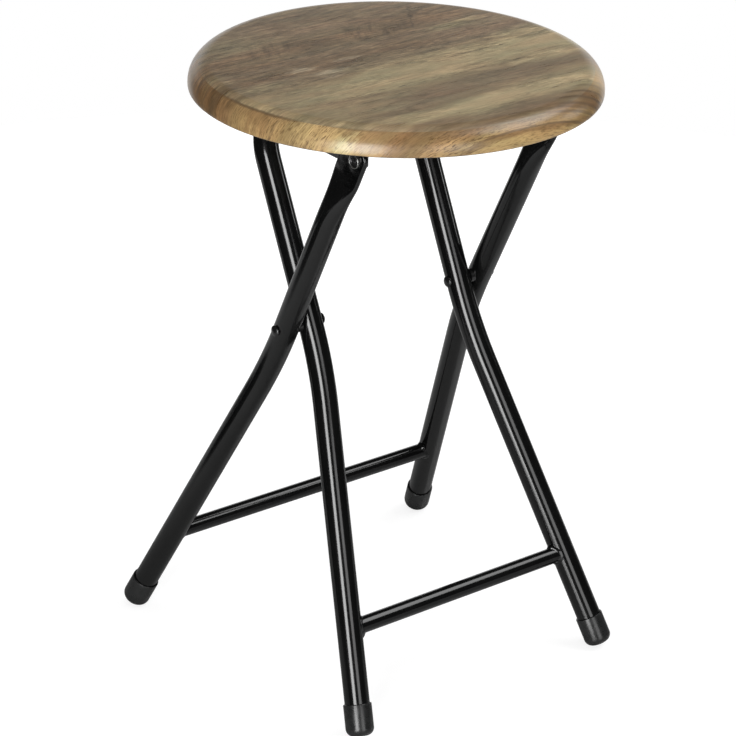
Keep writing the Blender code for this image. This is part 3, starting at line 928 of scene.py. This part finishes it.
def dishHead(high, way):  # a rolled rim round a dished middle with a small boss
    radius, rim, steps, tall, deep = pick(hingeHead, "radius rim rimSteps tall dish")
    dishFrom, dishTo, slope = pick(hingeHead, "dishFrom dishTo slope")
    boss, bossTall, (across, up) = pick(hingeHead, "boss bossTall shoulder")
    half, low = rim / 2, tall - deep
    edge = [(radius, 0)] + arc((radius - half, tall - half), half, 0, 180, steps)
    dish = [(radius - dishFrom, low + slope), (radius - dishTo, low), (boss, low)]
    crown = [(boss * across, low + bossTall * up), (0, low + bossTall)]
    return [(r, high + way * h) for r, h in edge + dish + crown]


def makeRivet(name, low, high, outerHead):
    shank = [(rivet["shank"], low), (rivet["shank"], high)]
    return turned(name, domeHead(low, -1)[::-1] + shank + outerHead(high, 1), rivet["steps"])


def makeWasher(name):  # a thin ring with softened edges
    bore, radius, thick = pick(hingeWasher, "bore radius thick")
    half, edge = thick / 2, thick / 4
    profile = [(bore, -half), (radius - edge, -half), (radius, -half + edge), (radius, half - edge),
               (radius - edge, half), (bore, half), (bore, -half)]
    return turned(name, profile, rivet["steps"])


def makeSpacers():  # hollowed to sit on the outer legs
    bore, radius, soft, rings, steps = pick(spacer, "bore radius soft rings steps")
    r, gap, rise = tubes["radius"], rivet["gap"], evenly(rings)
    low = tubes["inner"]["half"] + r + gap
    profile = [(bore, 0), (radius - soft, 0)] + [(radius, soft + (1 - soft) * t) for t in rise]
    profile += [(bore + (radius - bore) * (1 - t), 1) for t in rise[1:]] + [(bore, 0)]
    right = turned("pivotWasherRight", profile, steps)
    for v in right.data.vertices:
        y, z, share = v.co.y, v.co.x, v.co.z
        saddle = tubes["outer"]["half"] - sqrt(r ** 2 - y * y) - gap / 2
        v.co = (low + (saddle - low) * share, y, z)
    reskin(right)
    for piece in (right, mirrored(right, "pivotWasherLeft")):
        setInFrame(piece, "outer", "washerNylon")


def makeJoints():
    r, gap = tubes["radius"], rivet["gap"]
    pin, ear, earOuter, flatInner, flat = pick(joints, "pin earInner earOuter flatInner flatOuter")
    inside, outside = tubes["inner"]["half"] - r - gap, tubes["outer"]["half"] + r + gap
    pivot = makeRivet("pivotRivet", inside, outside, domeHead)
    hinge = makeRivet("hingeRivet", ear - gap, flat + gap, dishHead)
    washer = makeWasher("hingeWasher")
    sets = ((pivot, 0, tubes["pivot"][1:], "rivet_steel", "rivetBlack"),
            (hinge, 0, pin, "rivet_steel", "hingeSteel"),
            (washer, (earOuter + flatInner) / 2, pin, "washer_nylon", "washerNylon"))
    for first, x, (y, z), slot, finish in sets:
        for label, side in sides:
            piece = copyOf(first, first.name + label)
            putAt(piece, at(side * x, y, z) @ spun(side * pi / 2, "Y"))
            finishPiece(piece, "outer_frame", finish)
        bpy.data.objects.remove(first)


makeJoints()
makeSpacers()
print("rivets and washers set")


# Hinge rails of folded sheet
rail = {
    "gauge": 0.0015, "length": 0.11, "flange": 0.02, "bend": 0.003, "bendSteps": 8, "drop": 0.0083,
    "forward": 0.0065, "chamfer": 0.005, "rearRise": 0.016, "rearRun": 0.04, "top": 0.453, "edge": 0.0003,
    "screwMargin": 0.016, "hole": 0.00205, "pinHole": 0.0033, "drill": 0.01,
}


def railScrewPlaces(side):
    gauge, length, flange, bend, forward, margin = pick(rail, "gauge length flange bend forward screwMargin")
    x, z = side * (joints["earOuter"] - bend / 2 - flange / 2), rail["top"] - gauge - rivet["gap"]
    first, run = joints["pin"][0] - forward + margin, length - 2 * margin
    return [(x, first + run * share, z) for share in evenly(2)]


def earOut(piece, side):  # the sheet's outer face points away from the stool
    ear = max(piece.data.polygons, key=lambda f: abs(f.normal.x))
    if ear.normal.x * side < 0:
        piece.data.flip_normals()


def makeRails():
    length, flange, bend, steps, drop, forward = pick(rail, "length flange bend bendSteps drop forward")
    chamfer, rise, run, high, drill = pick(rail, "chamfer rearRise rearRun top drill")
    (pinY, pinZ), x = pick(joints, "pin earOuter")
    low, y0, y1 = pinZ - drop, pinY - forward, pinY - forward + length
    right = newPiece("hingeRailRight", mesh.primitive_plane_add, size=1)
    size = spun(pi / 2, "Y") @ Matrix.Diagonal((high - low, length, 1, 1))
    putAt(right, at(x, (y0 + y1) / 2, (low + high) / 2) @ size)
    editMode()
    pickParts("EDGE", lambda e: middle(e).z > high - nearBy)
    extrude((-flange, 0, 0))
    pickParts("EDGE", lambda e: middle(e).z > high - nearBy and middle(e).x > x - nearBy)
    mesh.bevel(offset=bend, segments=steps, affect="EDGES")
    for y, slope in ((y0 + chamfer, (0, -1, -1)), (y1 - run, (0, rise, -run))):
        selectAll()
        mesh.bisect(plane_co=(0, y, low), plane_no=slope, clear_outer=True)
    cleanSkin()
    editMode(False)
    earOut(right, 1)
    left = mirrored(right, "hingeRailLeft")
    earOut(left, -1)
    for piece, side in ((right, 1), (left, -1)):
        thicken(piece, rail["gauge"])
        holes = [rod((side * x, pinY, pinZ), (side * drill, 0, 0), rail["pinHole"])]
        holes += [rod((hx, hy, high), (0, 0, drill), rail["hole"]) for hx, hy, _ in railScrewPlaces(side)]
        cutWith(piece, joined(holes))
        softEdges(piece, rail["edge"], 2)
        finishPiece(piece, "seat", "railPaint", 30)


makeRails()
print("hinge rails folded")


# Moulded catch over the crossbar
catch = {
    "width": 0.028, "roof": 0.003, "bar": (0.085092, 0.4402), "groove": 0.0098, "grooveReach": 0.03,
    "grooveSteps": 64, "wall": 0.005, "tab": 0.012, "frontLow": 0.44771, "backLow": 0.43685, "edge": 0.0007,
}
catchReach = catch["groove"] + catch["wall"] + catch["tab"] / 2  # from the bar to the screws


def makeCatch():
    (by, bz), width, roof, groove, tab = pick(catch, "bar width roof groove tab")
    frontLow, backLow, reach, steps = pick(catch, "frontLow backLow grooveReach grooveSteps")
    top, drill, wall = rail["top"], rail["drill"], groove + catch["wall"]
    piece = newPiece("crossbarCatch", mesh.primitive_cube_add, size=1)
    putAt(piece, at(0, by, top - roof / 2) @ Matrix.Diagonal((width, 2 * (wall + tab), roof, 1)))
    editMode()
    for y in (by - wall, by, by + wall):
        selectAll()
        mesh.bisect(plane_co=(0, y, 0), plane_no=(0, 1, 0))
    pickParts("FACE", lambda f: f.normal.z < -0.5 and abs(f.calc_center_median().y - by) < wall)
    extrude((0, 0, frontLow - (top - roof)))
    pickParts("FACE", lambda f: f.normal.z < -0.5 and by < f.calc_center_median().y < by + wall)
    extrude((0, 0, backLow - frontLow))
    cleanSkin()
    editMode(False)
    cutWith(piece, rod((0, by, bz), (reach, 0, 0), groove, steps))
    holes = [rod((0, y, top), (0, 0, drill), rail["hole"]) for y in (by - catchReach, by + catchReach)]
    cutWith(piece, joined(holes))
    softEdges(piece, catch["edge"], 3)
    finishPiece(piece, "seat", "catchPlastic", 30)


makeCatch()
print("catch moulded")


# Screws with a cross recess
screw = {
    "shank": 0.00175, "length": 0.0135, "tip": 0.003, "head": 0.00375, "height": 0.0021, "domeStep": 9,
    "domePower": 0.7, "slotLong": 0.0042, "slotWide": 0.0009, "slotDeep": 0.0012, "steps": 32,
    "turns": (0.6, 1.1),  # of the first, and of each next one
}


def makeScrews():
    shank, length, tip, head, height = pick(screw, "shank length tip head height")
    step, power, long, wide, deep = pick(screw, "domeStep domePower slotLong slotWide slotDeep")
    turn, nextTurn = screw["turns"]
    dome = [(head * sin(radians(a)), -height * cos(radians(a)) ** power) for a in range(0, 90, step)]
    body = [(head, 0), (shank, 0), (shank, length - tip), (0, length)]
    first = turned("screw", dome + body, screw["steps"])
    cross = newPiece("cross", mesh.primitive_cube_add, size=wide)
    editMode()
    for way in map(Vector, ((1, 0, 0), (0, 1, 0), (-1, 0, 0), (0, -1, 0))):
        pickParts("FACE", lambda f: (f.calc_center_median() - way * wide / 2).length < nearBy)
        extrude(way * (long - wide) / 2)
    editMode(False)
    putAt(cross, at(0, 0, -height) @ Matrix.Scale(2 * deep / wide, 4, (0, 0, 1)))
    cutWith(first, cross)
    y, z = catch["bar"][0], rail["top"] - catch["roof"] - rivet["gap"]
    spots = [("catchScrewFront", (0, y - catchReach, z)), ("catchScrewBack", (0, y + catchReach, z))]
    for label, side in sides:
        spots += [("railScrew%s%d" % (label, i), spot) for i, spot in enumerate(railScrewPlaces(side), 1)]
    for i, (name, spot) in enumerate(spots):
        piece = copyOf(first, name)
        putAt(piece, at(*spot) @ spun(turn + nextTurn * i, "Z"))
        finishPiece(piece, "seat", "screwZinc", 30)
    bpy.data.objects.remove(first)


makeScrews()
print("screws driven")


# Round glossy table top that keeps a faint shadow, pale to the camera; its tone is painted darker near the
# stool, a painted shade that pales outwards
table = {
    "radius": 1.2, "sides": 96, "rough": 0.1, "lift": 0.78,
    # painted shade: the table's tones are darkest here under the stool and grow paler outwards
    "darkest": (0.1, 0.05, 0),  # the tones go outwards from here
    "tones": [(0, 0.33), (0.25, 0.37), (0.42, 0.52), (0.67, 0.62), (1, 0.8)],
}
# A black card beside the stool that only its gloss shows
flag = {"low": (-1.1, 0.15), "high": (-0.54, 0.84), "lift": 0.001, "black": 0.004}


def makeTable():
    radius, steps = pick(table, "radius sides")
    top = newPiece("tableTop", mesh.primitive_circle_add, vertices=steps, radius=radius, fill_type="NGON")
    shader, place = newFinish("tableWhite")
    # the tone ramp paints shade on the table around the stool
    far = vectorCalc("DISTANCE", place, table["darkest"])
    coat(shader, ramp(calc("DIVIDE", far, radius), table["tones"]), table["rough"])
    lift = times(addNode("LightPath").outputs["Is Camera Ray"], table["lift"])
    link(1, shader.inputs["Emission Color"])
    link(lift, shader.inputs["Emission Strength"])
    top.data.materials.append(finishes["tableWhite"])


def makeFlag():
    (x0, y0), (x1, y1) = pick(flag, "low high")
    card = newPiece("blackFlag", mesh.primitive_plane_add, size=1)
    size = Matrix.Diagonal((x1 - x0, y1 - y0, 1, 1))
    putAt(card, at((x0 + x1) / 2, (y0 + y1) / 2, flag["lift"]) @ size)
    shader, _ = newFinish("flagBlack")
    link(flag["black"], shader.inputs["Base Color"])
    link(0, shader.inputs["Specular IOR Level"])
    card.data.materials.append(finishes["flagBlack"])
    card.visible_camera = False
    card.visible_diffuse = False
    card.visible_shadow = False


makeTable()
makeFlag()

# Soft boxes: azimuth, distance, lower and upper edge, width and level
softBoxes = {
    "keyBox": (-145, 2, -0.15, 1.3, 0.76, 11.9), "frontBox": (-97, 2.2, 0, 1.33, 0.9, 3.3),
    "sideStrip": (-19, 2.2, 0.6, 1.4, 0.25, 5),
}
topBox = {"azimuth": -28, "elevation": 51, "distance": 2, "aim": 0.35, "size": (1.5, 0.95), "level": 4.6}
overhead = {"height": 2.5, "back": 0.35, "size": (2.2, 2), "level": 1}
# White backdrop, which gloss shows too, and the plain light all round
backdrop = {
    "azimuth": radians(52.4), "half": radians(30), "soft": 1.25, "top": radians(10), "topFade": 0.12,
    "ambient": 0.3, "dim": 0.03,
}


def addBox(name, place, aim, size, level):
    lamp = newPiece(name, ops.light_add, type="AREA", location=place)
    lamp.data.shape = "RECTANGLE"
    lamp.data.size, lamp.data.size_y = size
    lamp.data.energy = level * pi * size[0] * size[1]
    lamp.rotation_euler = (Vector(aim) - Vector(place)).to_track_quat("-Z", "Y").to_euler()
    lamp.visible_camera = False
    return lamp


def lightStudio():
    for name, (azimuth, far, low, high, width, level) in softBoxes.items():
        a, height = radians(azimuth), (low + high) / 2
        addBox(name, (far * cos(a), far * sin(a), height), (0, 0, height), (width, high - low), level)
    a, e = radians(topBox["azimuth"]), radians(topBox["elevation"])
    way, aim = Vector((cos(e) * cos(a), cos(e) * sin(a), sin(e))), Vector((0, 0, topBox["aim"]))
    addBox("topBox", aim + way * topBox["distance"], aim, topBox["size"], topBox["level"])
    height, back, size, level = pick(overhead, "height back size level")
    x, y = back * cos(backdrop["azimuth"]), back * sin(backdrop["azimuth"])
    fill = addBox("overheadFill", (x, y, height), (x, y, 0), size, level)
    fill.visible_glossy = False


def hangBackdrop():
    a, half, soft, top, topFade, ambient, dim = pick(backdrop, "azimuth half soft top topFade ambient dim")
    scene.world = bpy.data.worlds.new("studio")
    wireUp(scene.world)
    look = addNode("TexCoord").outputs["Generated"]
    level = vectorCalc("NORMALIZE", vectorCalc("MULTIPLY", look, (1, 1, 0)))
    facing = vectorCalc("DOT_PRODUCT", level, (cos(a), sin(a), 0))
    wide = between(facing, cos(half * soft), cos(half))
    tall = between(axes(look)["Z"], sin(top) + topFade, sin(top))
    rays = addNode("LightPath").outputs
    camera, glossy = rays["Is Camera Ray"], most(rays["Is Glossy Ray"], rays["Is Transmission Ray"])
    unseen = plus(times(glossy, minus(most(times(wide, tall), dim), ambient)), ambient)
    back = tree.nodes["Background"]
    link(1, back.inputs["Color"])
    link(plus(camera, times(minus(1, camera), unseen)), back.inputs["Strength"])


lightStudio()
hangBackdrop()
scene.view_settings.view_transform = "Standard"
print("studio lit")


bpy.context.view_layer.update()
freshStart()
